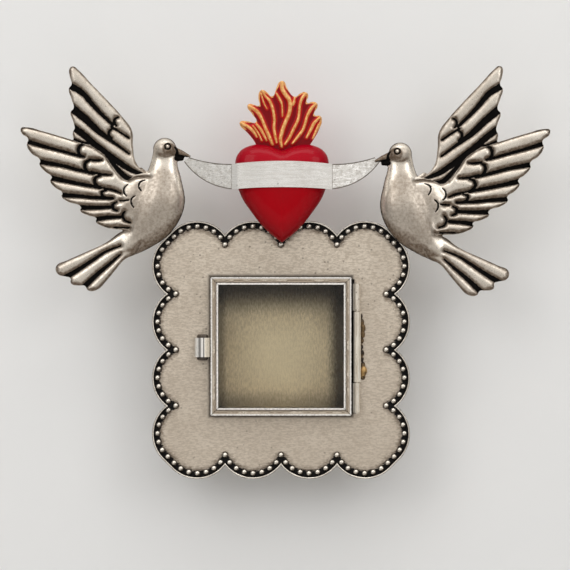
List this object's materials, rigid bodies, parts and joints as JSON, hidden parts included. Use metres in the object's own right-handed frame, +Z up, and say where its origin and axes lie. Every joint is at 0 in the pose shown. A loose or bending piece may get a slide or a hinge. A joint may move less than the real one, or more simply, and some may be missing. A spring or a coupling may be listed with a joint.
{
  "type": "tin nicho",
  "caption": "Wall-hung tin shrine box with a scalloped face plate, a hinged glass door, and a heart with a ribbon held by two doves.",
  "frame": {"origin": "centre of the box's flat back, in the wall plane, behind the middle of the door", "axes": "+Y into the wall, +Z up, +X to the right as seen from the front"},
  "size_m": [0.2113, 0.0325, 0.165],
  "materials": {
    "antique_tin": "worn tin plate with dark patina in its recesses",
    "inner_tin": "dull warm grey tin with an upright grain",
    "door_tin": "tin channel with bright rubbed edges and a brown groove",
    "bright_tin": "bright tin with fine brush marks",
    "pewter": "cast pewter, rubbed bright on the ridges and black in the grooves",
    "solder": "lumpy solder stained brown by flux",
    "red_enamel": "glossy deep red paint over a slightly dented pillow",
    "flame_enamel": "glossy red paint with gilded ridges",
    "clear_glass": "thin clear pane"
  },
  "bodies": {
    "case": {"bead_border": "antique_tin", "box_back": "inner_tin", "box_wall_bottom": "inner_tin", "box_wall_left": "inner_tin", "box_wall_right": "inner_tin", "box_wall_top": "inner_tin", "dove_left": "pewter", "dove_right": "pewter", "face_plate": "antique_tin", "flame_crown": "flame_enamel", "hanger_tab": "inner_tin", "heart": "red_enamel", "hinge_knuckle_middle": "bright_tin", "hinge_pin": "bright_tin", "hinge_solder": "solder", "latch_catch": "bright_tin", "ribbon": "bright_tin", "rim_lip": "antique_tin"},
    "door": {"door_rail_top": "door_tin", "door_rail_bottom": "door_tin", "door_stile_left": "door_tin", "door_stile_right": "door_tin", "glass_pane": "clear_glass", "hinge_knuckle_top": "bright_tin", "hinge_knuckle_bottom": "bright_tin", "latch_tab": "bright_tin"}
  },
  "joints": [
    {"name": "door_hinge", "type": "hinge", "parent": "case", "child": "door", "pos_m": [0.0304, -0.02355, 0], "axis": [0, 0, 1], "range_deg": [0, 140]}
  ]
}
